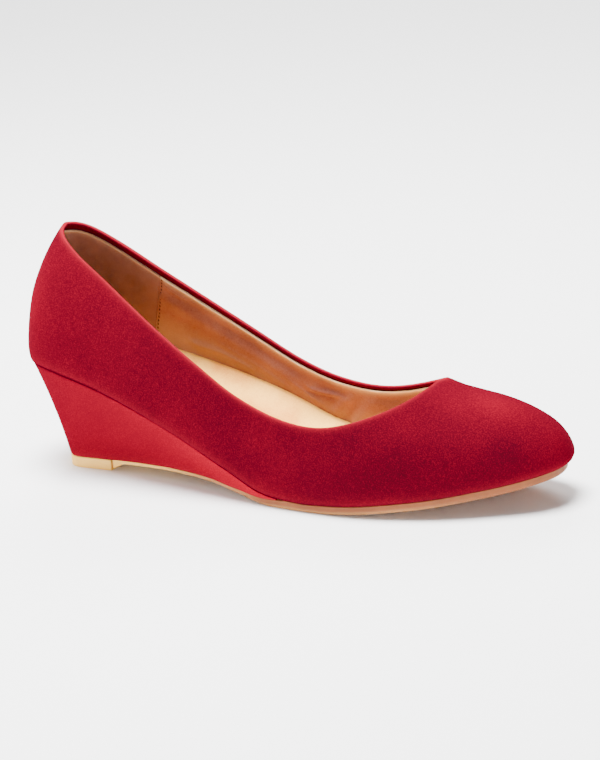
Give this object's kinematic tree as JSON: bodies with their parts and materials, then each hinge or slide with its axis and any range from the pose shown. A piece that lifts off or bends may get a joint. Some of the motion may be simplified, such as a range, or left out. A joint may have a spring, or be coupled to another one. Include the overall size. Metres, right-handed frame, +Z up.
{
  "type": "wedge pump",
  "caption": "Women's wedge pump, right foot: hollow last-shaped upper with a rounded toe and low collar, insole, suede-covered tapering wedge, thin outsole and heel top piece",
  "frame": {"origin": "on the floor, at the middle of the shoe's own box", "axes": "+X from heel to toe, +Y to the inner side of the foot, +Z up"},
  "size_m": [0.2398, 0.0736, 0.1032],
  "materials": {
    "red_suede": "napped red microfibre suede",
    "lining": "soft tan lining with a faint metallic sheen",
    "wedge_suede": "napped red microfibre suede over a light foam wedge",
    "outsole": "matt tan resin sheet",
    "top_piece": "matt beige rubber"
  },
  "bodies": {
    "root": {"upper": "red_suede", "insole": "lining", "wedge": "wedge_suede", "outsole": "outsole", "top_piece": "top_piece"}
  },
  "joints": []
}
